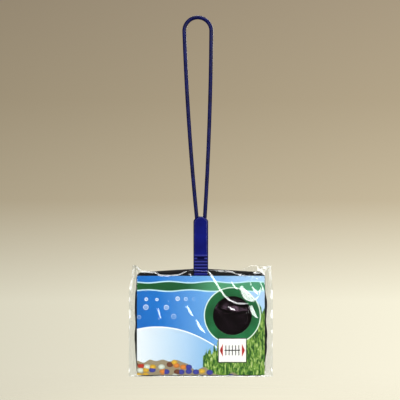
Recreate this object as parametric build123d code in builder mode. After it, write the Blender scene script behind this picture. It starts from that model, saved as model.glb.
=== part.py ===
from build123d import *
import os
from math import atan2, degrees, radians, sqrt, tan

# Aquarium fish net, packed flat in a clear display bag with a printed card.
# It hangs upright by its handle loop. The origin is the point inside the loop that rests on a peg,
# +Z runs up the handle, +X is to the right of someone facing the card, and the card faces -Y.

# Handle: a hairpin of coated spring wire
handle_core_d = 2.2
handle_jacket_d = 3.6
loop_bend_r = 12.55
loop_lean = 2.85
loop_close_left = 2.0
loop_close_right = 0.4
handle_reach = 182.7
leg_spread = 7.2
leg_bend_r = 30.0
leg_end_rise = 24.3
leg_bare_length = 4.0
leg_foot_r = 2.0
leg_foot_length = 0.3

# Grip: two moulded halves closed round the wire ends
grip_width = 13.7
grip_length = 56.2
grip_thickness = 7.6
grip_dome = 4.4
grip_shoulder_r = 2.3
grip_edge_r = 1.8
grip_mouth_depth = 3.0
groove_pitch = 2.86
groove_count = 6
groove_lead = 1.0
groove_width = 1.6
groove_floor_width = 0.8
groove_depth = 0.75

# Latch slot in the front half and the hook that fills it
slot_rise = 17.5
slot_width = 6.6
slot_height = 1.9
slot_neck = 1.3
slot_ledge = 1.5
hook_top = 0.9
pin_d = 2.0
pin_length = 2.0
pin_drops = (12.5, 23.0)
foot_pin_rise = 1.9

# Frame: a hoop of thinner coated wire with two tails in the grip
net_width = 120.0
frame_core_d = 1.8
frame_jacket_d = 2.6
frame_drop = 95.7
frame_corner_r = 4.0
bar_rise = 5.55
bar_fall = 3.3
tail_spread = 5.4
tail_bend_r = 3.4
tail_length = 9.0
tail_bare_length = 3.0

# Hem and net pocket
hem_cloth = 0.6
hem_flange = 3.0
hem_flange_thickness = 1.0
net_cloth = 0.6
pocket_depth = 6.0
pocket_lean = 30.0
mesh_pitch = 5.2
mesh_thread = 1.0
mesh_border = 1.5

# Display card
card_thickness = 0.4
card_side_margin = 0.95
card_top_drop = 4.5
card_foot_margin = 1.6
window_d = 36.0
window_x = 29.2
window_drop = 36.7

# Display bag
film = 0.15
bag_margin = 6.0
bag_rise = 5.2
weld_width = 2.6
weld_y = 0.8
bag_foot_drop = 0.9
foot_slope_back = 4.0

# Clearances
coat_gap = 0.03
channel_gap = 0.10
pin_gap = 0.05
hook_gap = 0.10
hem_gap = 0.15
grip_gap = 0.35
card_gap = 0.30
film_gap = 0.30

# Heights, measured down from the hang point
bend_z = -sqrt((loop_bend_r - handle_jacket_d / 2) ** 2 - loop_lean**2)
grip_top = -handle_reach
grip_foot = grip_top - grip_length
mouth_z = grip_top - grip_mouth_depth
bar_z = grip_foot + bar_rise
corner_z = bar_z - bar_fall
frame_foot = bar_z - frame_drop
slot_z = grip_foot + slot_rise
leg_end_z = grip_foot + leg_end_rise

# Widths and depths across the pack
grip_half = grip_thickness / 2
hem_r = frame_jacket_d / 2 + hem_gap + hem_cloth
frame_half = net_width / 2 - hem_r
tail_x = tail_spread / 2
flange_back = hem_flange_thickness / 2
bar_slope = bar_fall / (frame_half - tail_x)
roof_z = bar_z + bar_slope * tail_x
card_back = -grip_half - card_gap
card_front = card_back - card_thickness
bag_front_y = card_front - film_gap - film
bag_back_y = pocket_depth + net_cloth + film_gap + film
hem_foot = frame_foot - hem_r
bag_top = bar_z + bag_rise
bag_foot = hem_foot - bag_foot_drop
skirt_inset = hem_r + hem_flange / 3
panel_inset = skirt_inset + (pocket_depth - flange_back) * tan(radians(pocket_lean))

# Planes seen from the front, set back from the frame's own plane
flange_plane = Plane.XZ.offset(-flange_back)
panel_plane = Plane.XZ.offset(-pocket_depth)
card_plane = Plane.XZ.offset(-card_back)
weld_plane = Plane.XZ.offset(-weld_y)
backwards = (0, 1, 0)


def handle_line(end_z, foot_length):
    """Centre line of the hairpin, with the height at which each leg ends and its hooked foot."""
    with BuildLine(Plane.XZ) as line:
        loop_turn = 180 + loop_close_left + loop_close_right
        crown = CenterArc((-loop_lean, bend_z), loop_bend_r, -loop_close_right, loop_turn)
        for side, start, heading in ((1, crown @ 0, crown % 0 * -1), (-1, crown @ 1, crown % 1)):
            leg = TangentArc(start, (side * leg_spread / 2, mouth_z), tangent=heading)
            slant = leg % 1
            settle = JernArc(leg @ 1, slant, leg_bend_r, degrees(atan2(-slant.X, -slant.Z)))
            straight = Line(settle @ 1, ((settle @ 1).X, end_z))
            if foot_length > 0:
                foot = JernArc(straight @ 1, Vector(0, 0, -1), leg_foot_r, -90 * side)
                Line(foot @ 1, foot @ 1 - Vector(side * foot_length, 0, 0))
    return line.wire()


def frame_line(tail):
    """Centre line of the hoop, from one tail inside the grip round to the other."""
    right = [(tail_x, bar_z + tail), (tail_x, bar_z), (frame_half, corner_z), (frame_half, frame_foot)]
    left = [(-x, z) for x, z in reversed(right)]
    bends = [tail_bend_r] + 4 * [frame_corner_r] + [tail_bend_r]
    with BuildLine(Plane.XZ) as line:
        FilletPolyline(*right, *left, radius=bends)
    return line.wire()


def hem_line():
    """Centre line of the hem, which stops short of the grip on both sides."""
    end_x = grip_width / 2 + grip_gap
    end_z = roof_z - bar_slope * end_x
    right = [(end_x, end_z), (frame_half, corner_z), (frame_half, frame_foot)]
    left = [(-x, z) for x, z in reversed(right)]
    with BuildLine(Plane.XZ) as line:
        FilletPolyline(*right, *left, radius=frame_corner_r)
    return line.wire()


def inside_frame(inset):
    """Area within the hoop's centre line, drawn in by inset."""
    with BuildSketch() as area:
        with BuildLine():
            Polyline(
                (-frame_half, frame_foot),
                (frame_half, frame_foot),
                (frame_half, corner_z),
                (0, roof_z),
                (-frame_half, corner_z),
                close=True,
            )
        make_face()
        corners = area.vertices().filter_by(lambda corner: abs(corner.X) > frame_half / 2)
        fillet(corners, radius=frame_corner_r)
        offset(amount=-inset)
    return area.sketch


def round_wire(line, diameter, bore=0.0):
    """Solid swept along a centre line: a bare wire, or its jacket where a bore is given."""
    with BuildPart() as wire:
        with BuildSketch(Plane(origin=line @ 0, z_dir=line % 0)):
            Circle(diameter / 2)
            if bore > 0:
                Circle(bore / 2, mode=Mode.SUBTRACT)
        sweep(path=line)
    return wire.part


# Centre lines of the wires, and the room that they take inside the grip
handle_core_line = handle_line(leg_end_z, leg_foot_length)
handle_jacket_line = handle_line(leg_end_z + leg_bare_length, 0)
frame_core_line = frame_line(tail_length)
frame_jacket_line = frame_line(tail_length - tail_bare_length)
wire_channels = [
    round_wire(handle_core_line, handle_core_d + 2 * channel_gap),
    round_wire(handle_jacket_line, handle_jacket_d + 2 * channel_gap),
    round_wire(frame_core_line, frame_core_d + 2 * channel_gap),
    round_wire(frame_jacket_line, frame_jacket_d + 2 * channel_gap),
]

with BuildPart() as handle_wire:
    add(round_wire(handle_core_line, handle_core_d))
handle_wire.part.label = "handle_wire"

with BuildPart() as handle_jacket:
    add(round_wire(handle_jacket_line, handle_jacket_d, handle_core_d + 2 * coat_gap))
handle_jacket.part.label = "handle_jacket"

with BuildPart() as frame_wire:
    add(round_wire(frame_core_line, frame_core_d))
frame_wire.part.label = "frame_wire"

with BuildPart() as frame_jacket:
    add(round_wire(frame_jacket_line, frame_jacket_d, frame_core_d + 2 * coat_gap))
frame_jacket.part.label = "frame_jacket"


# Grip halves: the same domed outline, ribbed towards the net, parted on the wires' own plane
with BuildSketch() as grip_outline:
    with BuildLine():
        shoulder_z = grip_top - grip_dome
        half_width = grip_width / 2
        ThreePointArc((-half_width, shoulder_z), (0, grip_top), (half_width, shoulder_z))
        Polyline(
            (half_width, shoulder_z),
            (half_width, grip_foot),
            (-half_width, grip_foot),
            (-half_width, shoulder_z),
        )
    make_face()
    shoulders = grip_outline.vertices().group_by(Axis.Y)[-1]
    fillet(shoulders, radius=grip_shoulder_r)

with BuildPart() as grip_grooves:
    groove_flank = degrees(atan2(groove_depth, (groove_width - groove_floor_width) / 2))
    with BuildSketch(Plane.YZ.offset(-grip_width)):
        for face_side in (-1, 1):
            groove_y = face_side * (grip_half - groove_depth / 2)
            for number in range(groove_count):
                groove_z = slot_z + groove_lead - number * groove_pitch
                with Locations(Location((groove_y, groove_z), 90 * face_side)):
                    Trapezoid(groove_width, groove_depth, groove_flank)
    extrude(amount=2 * grip_width)


def grip_half_shell(towards):
    """One half of the grip, without its slot, pins or hook: towards is -1 for front, 1 for back."""
    with BuildPart() as shell:
        with BuildSketch(Plane.XZ):
            add(grip_outline.sketch)
        extrude(amount=-towards * grip_half)
        outer_face = shell.faces().sort_by(Axis.Y)[0 if towards < 0 else -1]
        fillet(outer_face.edges(), radius=grip_edge_r)
        add(grip_grooves.part, mode=Mode.SUBTRACT)
        for channel in wire_channels:
            add(channel, mode=Mode.SUBTRACT)
    return shell.part


def slot_block(height, width, deep):
    """Block reaching forward from the parting plane at the latch slot."""
    with BuildPart() as block:
        with BuildSketch(Plane.XZ):
            with Locations((0, slot_z)):
                Rectangle(width, height)
        extrude(amount=deep)
    return block.part


def locating_pins(diameter, length):
    """Round pins reaching forward from the parting plane, between the wires."""
    with BuildPart() as pins:
        with BuildSketch(Plane.XZ):
            heights = [grip_top - drop for drop in pin_drops] + [grip_foot + foot_pin_rise]
            with Locations(*[(0, height) for height in heights]):
                Circle(diameter / 2)
        extrude(amount=length)
    return pins.part


with BuildPart() as grip_front:
    add(grip_half_shell(-1))
    add(locating_pins(pin_d + 2 * pin_gap, pin_length + pin_gap), mode=Mode.SUBTRACT)
    add(slot_block(slot_neck, slot_width, grip_half), mode=Mode.SUBTRACT)
    with BuildSketch(Plane.XZ.offset(slot_ledge)):
        with Locations((0, slot_z)):
            Rectangle(slot_width, slot_height)
    extrude(amount=grip_half - slot_ledge, mode=Mode.SUBTRACT)
grip_front.part.label = "grip_front"

with BuildPart() as grip_back:
    add(grip_half_shell(1))
    add(locating_pins(pin_d, pin_length))
    add(slot_block(slot_neck - 2 * hook_gap, slot_width - 2 * hook_gap, grip_half - hook_top))
    with BuildSketch(Plane.XZ.offset(slot_ledge + hook_gap)):
        with Locations((0, slot_z)):
            Rectangle(slot_width - 2 * hook_gap, slot_height - 2 * hook_gap)
    extrude(amount=grip_half - hook_top - slot_ledge - hook_gap)
grip_back.part.label = "grip_back"


# Room that the grip's foot needs in the cloth, from the front of the hem to behind the grip
with BuildPart() as grip_room:
    room_half = grip_width / 2 + grip_gap
    with BuildSketch(Plane.XZ.offset(hem_r)):
        with BuildLine():
            Polyline(
                (-room_half, roof_z + hem_r),
                (room_half, roof_z + hem_r),
                (room_half, grip_foot - grip_gap),
                (-room_half, grip_foot - grip_gap),
                close=True,
            )
        make_face()
    extrude(amount=-(hem_r + grip_half + grip_gap))

# Hem: tape folded round the hoop, its two edges sewn together as a flange inside the hoop
with BuildPart() as hem:
    add(round_wire(hem_line(), 2 * hem_r, 2 * (hem_r - hem_cloth)))
    with BuildSketch(Plane.XZ.offset(-flange_back)):
        add(inside_frame(hem_r - hem_cloth / 2))
        add(inside_frame(hem_r + hem_flange), mode=Mode.SUBTRACT)
    extrude(amount=hem_flange_thickness)
    add(grip_room.part, mode=Mode.SUBTRACT)
hem.part.label = "hem"

# Pocket walls, sewn to the back of the flange and leaning in towards the panel
with BuildPart() as net_skirt:
    skirt_depth = pocket_depth - flange_back
    with BuildSketch(flange_plane):
        add(inside_frame(skirt_inset))
    extrude(amount=skirt_depth, dir=backwards, taper=pocket_lean)
    with BuildSketch(flange_plane):
        add(inside_frame(skirt_inset + net_cloth))
    extrude(amount=skirt_depth, dir=backwards, taper=pocket_lean, mode=Mode.SUBTRACT)
    add(grip_room.part, mode=Mode.SUBTRACT)
net_skirt.part.label = "net_skirt"

# Pocket back: one flat net with square gaps
with BuildPart() as net_panel:
    with BuildSketch(panel_plane) as panel_face:
        add(inside_frame(panel_inset))
        gap_inset = panel_inset + net_cloth + mesh_border
        gap_top = corner_z - gap_inset
        gap_foot = frame_foot + gap_inset
        columns = int((2 * (frame_half - gap_inset) + mesh_thread) // mesh_pitch)
        rows = int((gap_top - gap_foot + mesh_thread) // mesh_pitch)
        with Locations((0, (gap_top + gap_foot) / 2)):
            with GridLocations(mesh_pitch, mesh_pitch, columns, rows):
                Rectangle(mesh_pitch - mesh_thread, mesh_pitch - mesh_thread, mode=Mode.SUBTRACT)
    extrude(amount=net_cloth, dir=backwards)
net_panel.part.label = "net_panel"


# Card in front of the grip's foot and the hem, with a round window on the net
with BuildPart() as display_card:
    card_half = net_width / 2 - card_side_margin
    card_top = bar_z - card_top_drop
    card_foot = hem_foot + card_foot_margin
    with BuildSketch(card_plane):
        with Locations((0, (card_top + card_foot) / 2)):
            Rectangle(2 * card_half, card_top - card_foot)
        with Locations((window_x, card_top - window_drop)):
            Circle(window_d / 2, mode=Mode.SUBTRACT)
    extrude(amount=card_thickness)
display_card.part.label = "display_card"


# Bag: two films that lie flat on the card and on the net, slope in to a weld at each side and close
# under the hem
weld_x = net_width / 2 + bag_margin - weld_width
front_flat = card_half + film_gap + film
back_flat = frame_half - panel_inset + net_cloth + film_gap + film
fold_half = film * 2

with BuildPart() as bag_shell:
    with BuildSketch(Plane.XY.offset(bag_foot)):
        with BuildLine():
            Polyline(
                (-weld_x, weld_y),
                (-front_flat, bag_front_y),
                (front_flat, bag_front_y),
                (weld_x, weld_y),
                (back_flat, bag_back_y),
                (-back_flat, bag_back_y),
                close=True,
            )
        make_face()
    extrude(amount=bag_top - bag_foot)
    with BuildSketch(Plane.YZ):
        with BuildLine():
            Polyline(
                (bag_front_y, bag_top),
                (bag_front_y, card_foot - film_gap),
                (weld_y - fold_half, bag_foot),
                (weld_y + fold_half, bag_foot),
                (bag_back_y, bag_foot + foot_slope_back),
                (bag_back_y, bag_top),
                close=True,
            )
        make_face()
    extrude(amount=2 * weld_x, both=True, mode=Mode.INTERSECT)
    offset(amount=-film, openings=bag_shell.faces().sort_by(Axis.Z)[-1])
    weld_mid = weld_x + weld_width / 2 - film
    with Locations((-weld_mid, weld_y, bag_foot), (weld_mid, weld_y, bag_foot)):
        Box(
            weld_width + 2 * film,
            2 * film,
            bag_top - bag_foot,
            align=(Align.CENTER, Align.CENTER, Align.MIN),
        )

with BuildPart() as bag_front:
    add(bag_shell.part)
    split(bisect_by=weld_plane, keep=Keep.TOP)
bag_front.part.label = "bag_front"

with BuildPart() as bag_back:
    add(bag_shell.part)
    split(bisect_by=weld_plane, keep=Keep.BOTTOM)
bag_back.part.label = "bag_back"


os.makedirs("parts", exist_ok=True)
pieces = [
    handle_wire,
    handle_jacket,
    grip_front,
    grip_back,
    frame_wire,
    frame_jacket,
    hem,
    net_skirt,
    net_panel,
    display_card,
    bag_front,
    bag_back,
]
for piece in pieces:
    export_step(piece.part, f"parts/{piece.part.label}.step")
    print(f"{piece.part.label}: {piece.part.volume:.1f} mm3, {len(piece.part.solids())} solid")
print(f"net gaps: {columns} by {rows}")
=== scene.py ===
"""Looks of an aquarium hand net, packed with a printed card in a clear display bag."""

import logging
import math
from bisect import bisect_right
from collections.abc import Callable, Iterator, Sequence
from contextlib import contextmanager
from dataclasses import dataclass, field
from enum import Enum
from functools import cached_property
from typing import NamedTuple

import bpy
from mathutils import Matrix, Vector, noise


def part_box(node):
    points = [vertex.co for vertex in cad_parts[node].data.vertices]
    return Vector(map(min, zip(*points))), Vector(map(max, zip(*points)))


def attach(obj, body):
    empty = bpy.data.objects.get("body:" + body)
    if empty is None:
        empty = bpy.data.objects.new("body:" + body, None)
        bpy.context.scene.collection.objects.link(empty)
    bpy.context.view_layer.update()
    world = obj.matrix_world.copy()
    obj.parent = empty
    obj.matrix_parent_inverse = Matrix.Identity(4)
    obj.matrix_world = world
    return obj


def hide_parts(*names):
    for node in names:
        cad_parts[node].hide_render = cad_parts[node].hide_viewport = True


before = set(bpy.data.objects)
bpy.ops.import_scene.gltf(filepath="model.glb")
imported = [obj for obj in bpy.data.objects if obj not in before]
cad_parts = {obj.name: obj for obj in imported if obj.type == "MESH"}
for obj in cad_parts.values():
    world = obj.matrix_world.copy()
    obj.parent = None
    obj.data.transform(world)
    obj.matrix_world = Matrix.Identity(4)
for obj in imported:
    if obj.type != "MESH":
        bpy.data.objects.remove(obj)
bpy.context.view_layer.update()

LOG = logging.getLogger("hand_net")
MM = 0.001
HEM_LOW, HEM_HIGH = (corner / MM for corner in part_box("hem"))
CARD_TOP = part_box("display_card")[1].z / MM
BAG_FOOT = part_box("bag_front")[0].z / MM
Colour = tuple[float, float, float, float]
Piece, Material = bpy.types.Object, bpy.types.Material
Tree, Socket = bpy.types.NodeTree, bpy.types.NodeSocket
Layers = list[tuple[Socket, Socket | Colour]]
Place = Callable[[float, float], Vector]


class Body(Enum):
    """The CAD bodies that pieces ride on."""

    NET = "net"
    BAG = "bag"


class Slot(Enum):
    """The record's material slots."""

    HEM = "hem_tape"
    NETTING = "net_cloth"
    FILM = "clear_film"


class Hold(Enum):
    """How a sheet is held."""

    LAID = "laid"
    FOLDED = "folded"
    STRETCHED = "stretched"


class Side(Enum):
    """The front or the back of the pack, as the sign of Y."""

    FRONT = -1
    BACK = 1


# Small tools


def linear(hex_colour: str) -> Colour:
    """Turns an sRGB colour to linear light.

    Args:
        hex_colour: The colour as #RRGGBB.

    Returns:
        Linear red, green, blue and an alpha of 1.
    """
    parts = [int(hex_colour[i : i + 2], 16) / 255 for i in (1, 3, 5)]
    red, green, blue = (c / 12.92 if c <= 0.04045 else ((c + 0.055) / 1.055) ** 2.4 for c in parts)
    return red, green, blue, 1.0


def add(
    tree: Tree,
    kind: str,
    inputs: dict | None = None,
    output: int | str = 0,
    stops: Sequence[tuple[float, str]] = (),
    **settings: object,
) -> Socket:
    """Adds a node with its settings and links.

    Args:
        tree: The node tree that gets it.
        kind: The node's type name after ShaderNode.
        inputs: Values, or sockets to link, by input name or number.
        output: The output to hand back.
        stops: Places and colours of a colour ramp.
        settings: Other properties of the node.

    Returns:
        The chosen output socket.
    """
    node = tree.nodes.new("ShaderNode" + kind)
    for name, value in settings.items():
        setattr(node, name, value)
    for key, value in (inputs or {}).items():
        if isinstance(value, Socket):
            tree.links.new(value, node.inputs[key])
        else:
            node.inputs[key].default_value = value
    if stops:
        ramp = node.color_ramp.elements
        while len(ramp) < len(stops):
            ramp.new(1.0)
        for element, (place, colour) in zip(ramp, stops):
            element.position = place
            element.color = linear(colour)
    return node.outputs[output] if node.outputs else node.inputs[0]


def blank_material(name: str) -> tuple[Material, Tree]:
    """Makes a material with no nodes.

    Args:
        name: The material's name.

    Returns:
        The material and its node tree.
    """
    material = bpy.data.materials.new(name)
    material.use_nodes = True
    material.node_tree.nodes.clear()
    return material, material.node_tree


def ease(t: float) -> float:
    """A smooth step from 0 to 1 over t from 0 to 1."""
    t = min(max(t, 0.0), 1.0)
    return t * t * (3 - 2 * t)


def mix(a: float, b: float, t: float) -> float:
    """The value at t on the way from a to b."""
    return a + (b - a) * t


def through(points: Sequence[tuple[float, float]], x: float) -> float:
    """Height of a smooth curve through points.

    Args:
        points: Places and heights, in order of place.
        x: The place to read.

    Returns:
        The height there, level beyond both ends.
    """
    for (x0, y0), (x1, y1) in zip(points, points[1:]):
        if x < x1:
            return mix(y0, y1, ease((x - x0) / (x1 - x0)))
    return points[-1][1]


def select_only(piece: Piece) -> None:
    """Makes one object the selected and active one."""
    bpy.ops.object.select_all(action="DESELECT")
    piece.select_set(True)
    bpy.context.view_layer.objects.active = piece


@contextmanager
def editing(piece: Piece) -> Iterator[None]:
    """Opens a piece in edit mode, with all of it selected."""
    select_only(piece)
    bpy.ops.object.mode_set(mode="EDIT")
    bpy.ops.mesh.select_all(action="SELECT")
    yield
    bpy.ops.object.mode_set(mode="OBJECT")


def finish_with(piece: Piece, kind: str, **settings: object) -> None:
    """Adds a modifier and applies it.

    Args:
        piece: The object to change.
        kind: The modifier's type.
        settings: The modifier's properties.
    """
    select_only(piece)
    modifier = piece.modifiers.new(kind.lower(), kind)
    for name, value in settings.items():
        setattr(modifier, name, value)
    bpy.ops.object.modifier_apply(modifier=modifier.name)


def shaped_grid(name: str, columns: int, rows: int, place: Place) -> Piece:
    """Makes a sheet from a grid whose points are moved one by one.

    Args:
        name: The piece's name.
        columns: Cells across.
        rows: Cells along.
        place: Gives the place in millimetres of the point at u across and v along.

    Returns:
        The new object, with smooth faces and the grid's own UV map.
    """
    bpy.ops.object.select_all(action="DESELECT")
    bpy.ops.mesh.primitive_grid_add(x_subdivisions=columns, y_subdivisions=rows, size=1)
    piece = bpy.context.object
    piece.name = piece.data.name = name
    for point in piece.data.vertices:
        point.co = place(point.co.x + 0.5, point.co.y + 0.5) * MM
    bpy.ops.object.shade_smooth()
    return piece


def dress(piece: Piece, material: Material) -> None:
    """Gives a piece one material."""
    piece.data.materials.clear()
    piece.data.materials.append(material)


# Finishes


@dataclass(frozen=True)
class Plastic:
    """A solid-coloured plastic, whose tone drifts slowly, with a fine relief and duller marks.

    Lengths are in millimetres.
    """

    name: str
    light: str
    deep: str
    roughness: float
    tone_mm: float
    relief_mm: float
    relief: float = 0.12
    shine: float = 0.5
    sheen: float = 0.0

    def material(self) -> Material:
        """Builds the material."""
        material, tree = blank_material(self.name)
        place = add(tree, "TexCoord", output="Object")
        tone = add(tree, "TexNoise", {"Vector": place, "Scale": 1 / (self.tone_mm * MM), "Detail": 4.0})
        colour = add(tree, "ValToRGB", {0: tone}, stops=((0.3, self.deep), (0.7, self.light)))
        marks = add(tree, "MapRange", {
            "Value": tone, "To Min": self.roughness * 0.8, "To Max": self.roughness * 1.4,
        })
        grain = add(
            tree, "TexNoise", {"Vector": place, "Scale": 1 / (self.relief_mm * MM), "Detail": 2.0}
        )
        bump = add(tree, "Bump", {"Height": grain, "Strength": self.relief, "Distance": 0.1 * MM})
        surface = add(tree, "BsdfPrincipled", {
            "Base Color": colour, "Roughness": marks, "Normal": bump, "Specular IOR Level": self.shine,
            "Sheen Weight": self.sheen,
        })
        add(tree, "OutputMaterial", {"Surface": surface})
        return material


# Soft vinyl drawn over wire: a deep wet blue, faintly wavy, with a narrow shine along it
VINYL = Plastic("extruded_vinyl", "#0C1150", "#060835", 0.26, 9.0, 1.6, relief=0.06, shine=0.14)
# Nylon filament for netting: nearly black with a soft shine
FILAMENT = Plastic("nylon_filament", "#1C1719", "#080607", 0.45, 6.0, 0.8, sheen=0.05)
# Nylon sewing thread: black, a shade lighter than the tape it lies on
THREAD = Plastic("nylon_sewing_thread", "#262223", "#100E0E", 0.5, 6.0, 0.3, relief=0.3, sheen=0.1)


@dataclass(frozen=True)
class RibbedPlastic:
    """Injection-moulded polyethylene: a waxy dark blue with the tool's fine spark texture.

    The rib crests are painted lighter as a highlight, and painted shade makes the blue deeper in the
    grooves and at the sides.
    Lengths are in millimetres.
    """

    name: str = "moulded_polyethylene"
    light: str = "#0E1670"
    deep: str = "#0A0F58"
    # Painted highlight: the lighter colour given to the rib crests
    crest: str = "#2E3384"
    # Painted shade: the dark colour for the grooves, the slot and the sides
    painted_groove_shade: str = "#010236"
    roughness: float = 0.25
    shine: float = 0.25
    tone_mm: float = 14.0
    relief_mm: float = 0.35
    face_y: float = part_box("grip_front")[0].y / -MM
    groove_deep: float = 0.75
    ribs: tuple[float, float] = (CARD_TOP + 2.0, CARD_TOP + 19.6)

    def material(self) -> Material:
        """Builds the material."""
        material, tree = blank_material(self.name)
        place = add(tree, "TexCoord", output="Object")
        tone = add(tree, "TexNoise", {"Vector": place, "Scale": 1 / (self.tone_mm * MM), "Detail": 4.0})
        plain = add(tree, "ValToRGB", {0: tone}, stops=((0.3, self.deep), (0.7, self.light)))
        # Painted shade: the blue darkens with depth below the front face, in the grooves, the slot and on
        # the sides
        forward = add(tree, "SeparateXYZ", {0: place}, "Y")
        deep = add(tree, "Math", {0: forward}, operation="ABSOLUTE")
        raised = add(tree, "MapRange", {
            "Value": deep, "From Min": (self.face_y - self.groove_deep) * MM,
            "From Max": (self.face_y - 0.1) * MM,
        })
        # Painted highlight: the raised rib crests between these heights take the lighter crest colour
        height = add(tree, "SeparateXYZ", {0: place}, "Z")
        ends = [
            add(tree, "MapRange", {
                "Value": height, "From Min": (end + soft) * MM, "From Max": (end - soft) * MM,
            })
            for end, soft in zip(self.ribs, (-0.4, 0.4))
        ]
        crest_highlight_zone = add(tree, "Math", {0: ends[0], 1: ends[1]}, operation="MULTIPLY")
        face = add(tree, "Mix", {0: crest_highlight_zone, 6: plain, 7: linear(self.crest)}, 2, data_type="RGBA")
        colour = add(tree, "Mix", {0: raised, 6: linear(self.painted_groove_shade), 7: face}, 2, data_type="RGBA")
        grain = add(
            tree, "TexNoise", {"Vector": place, "Scale": 1 / (self.relief_mm * MM), "Detail": 2.0}
        )
        bump = add(tree, "Bump", {"Height": grain, "Strength": 0.12, "Distance": 0.1 * MM})
        surface = add(tree, "BsdfPrincipled", {
            "Base Color": colour, "Roughness": self.roughness, "Normal": bump,
            "Specular IOR Level": self.shine,
        })
        add(tree, "OutputMaterial", {"Surface": surface})
        return material


@dataclass(frozen=True)
class SpringWire:
    """Drawn spring-steel wire: grey, with fine drag lines from the die along its length."""

    name: str = "drawn_spring_steel"
    light: str = "#B9BBBE"
    deep: str = "#7F8286"
    roughness: float = 0.32
    drag_mm: float = 0.4
    drag_length_mm: float = 12.0

    def material(self) -> Material:
        """Builds the material."""
        material, tree = blank_material(self.name)
        place = add(tree, "TexCoord", output="Object")
        across, along = 1 / (self.drag_mm * MM), 1 / (self.drag_length_mm * MM)
        drawn = add(tree, "Mapping", {"Vector": place, "Scale": (across, across, along)})
        lines = add(tree, "TexNoise", {"Vector": drawn, "Scale": 1.0, "Detail": 3.0})
        colour = add(tree, "ValToRGB", {0: lines}, stops=((0.3, self.deep), (0.7, self.light)))
        surface = add(tree, "BsdfPrincipled", {
            "Base Color": colour, "Roughness": self.roughness, "Metallic": 1.0,
        })
        add(tree, "OutputMaterial", {"Surface": surface})
        return material


@dataclass(frozen=True)
class Cloth:
    """A cloth whose threads run along both directions of its UV map. Lengths are in millimetres."""

    name: str
    light: str
    deep: str
    roughness: float
    pitch_mm: float
    size_mm: tuple[float, float]
    tone_mm: float
    relief: float = 0.6
    shine: float = 0.5
    sheen: float = 0.15
    satin: str = "#FFFFFF"

    def material(self) -> Material:
        """Builds the material."""
        material, tree = blank_material(self.name)
        chart = add(tree, "TexCoord", output="UV")
        sized = add(tree, "Mapping", {"Vector": chart, "Scale": (*self.size_mm, 1.0)})
        waves_per_unit = 20 / (2 * math.pi)
        step = 1 / (self.pitch_mm * waves_per_unit)
        warp, weft = (
            add(tree, "TexWave", {"Vector": sized, "Scale": step}, "Fac", bands_direction=way)
            for way in "XY"
        )
        threads = add(tree, "Math", {0: warp, 1: weft}, operation="MAXIMUM")
        tone = add(tree, "TexNoise", {"Vector": sized, "Scale": 1 / self.tone_mm, "Detail": 4.0})
        shade = add(tree, "Math", {0: threads, 1: tone}, operation="MULTIPLY")
        colour = add(tree, "ValToRGB", {0: shade}, stops=((0.2, self.deep), (0.7, self.light)))
        bump = add(tree, "Bump", {"Height": threads, "Strength": self.relief, "Distance": 0.15 * MM})
        surface = add(tree, "BsdfPrincipled", {
            "Base Color": colour, "Roughness": self.roughness, "Normal": bump,
            "Specular IOR Level": self.shine, "Sheen Weight": self.sheen,
            "Specular Tint": linear(self.satin),
        })
        add(tree, "OutputMaterial", {"Surface": surface})
        return material


# Woven nylon binding tape: dull black with cross ribs and a little lint. The real ribs are about
# 0.4 mm apart, and are drawn wider so that they show.
TAPE = Cloth("woven_nylon_tape", "#191614", "#050404", 0.75, 0.9, (390.0, 18.0), 2.5, shine=0.25)
# Netting folded on itself: too many layers to see through, black with a plum-brown satin shine
BUNCHED = Cloth(
    "bunched_nylon_netting", "#0E060B", "#020102", 0.24, 1.25, (96.0, 80.0), 18.0, relief=0.2, shine=1.0,
    sheen=0.0, satin="#D2ABC2",
)


@dataclass(frozen=True)
class ClearFilm:
    """Cast polypropylene film: clear, with the sharp white glints of a crisp thin sheet."""

    name: str = "cast_polypropylene_film"
    tint: str = "#FAFBFC"
    straight_on: float = 0.11
    edge_on: float = 0.5
    roughness: float = 0.1
    ripple_mm: float = 9.0

    def material(self) -> Material:
        """Builds the material."""
        material, tree = blank_material(self.name)
        place = add(tree, "TexCoord", output="Object")
        ripple = add(tree, "TexNoise", {
            "Vector": place, "Scale": 1 / (self.ripple_mm * MM), "Detail": 3.0,
        })
        bump = add(tree, "Bump", {"Height": ripple, "Strength": 0.25, "Distance": 0.5 * MM})
        gloss = add(tree, "BsdfGlossy", {"Roughness": self.roughness, "Normal": bump})
        clear = add(tree, "BsdfTransparent", {"Color": linear(self.tint)})
        slant = add(tree, "LayerWeight", {"Blend": 0.5, "Normal": bump}, "Facing")
        steep = add(tree, "Math", {0: slant, 1: 5.0}, operation="POWER")
        share = add(tree, "Math", {0: steep, 1: self.edge_on}, operation="MULTIPLY")
        slanted = add(tree, "MixShader", {0: share, 1: clear, 2: gloss})
        glint = add(tree, "BsdfGlossy", {
            "Color": (self.straight_on,) * 3 + (1.0,), "Roughness": self.roughness, "Normal": bump,
        })
        surface = add(tree, "AddShader", {0: slanted, 1: glint})
        add(tree, "OutputMaterial", {"Surface": surface})
        return material


class Artboard(NamedTuple):
    """A material's nodes, with the place on the card in millimetres, its X and its Z."""

    tree: Tree
    place: Socket
    x: Socket
    z: Socket


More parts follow.
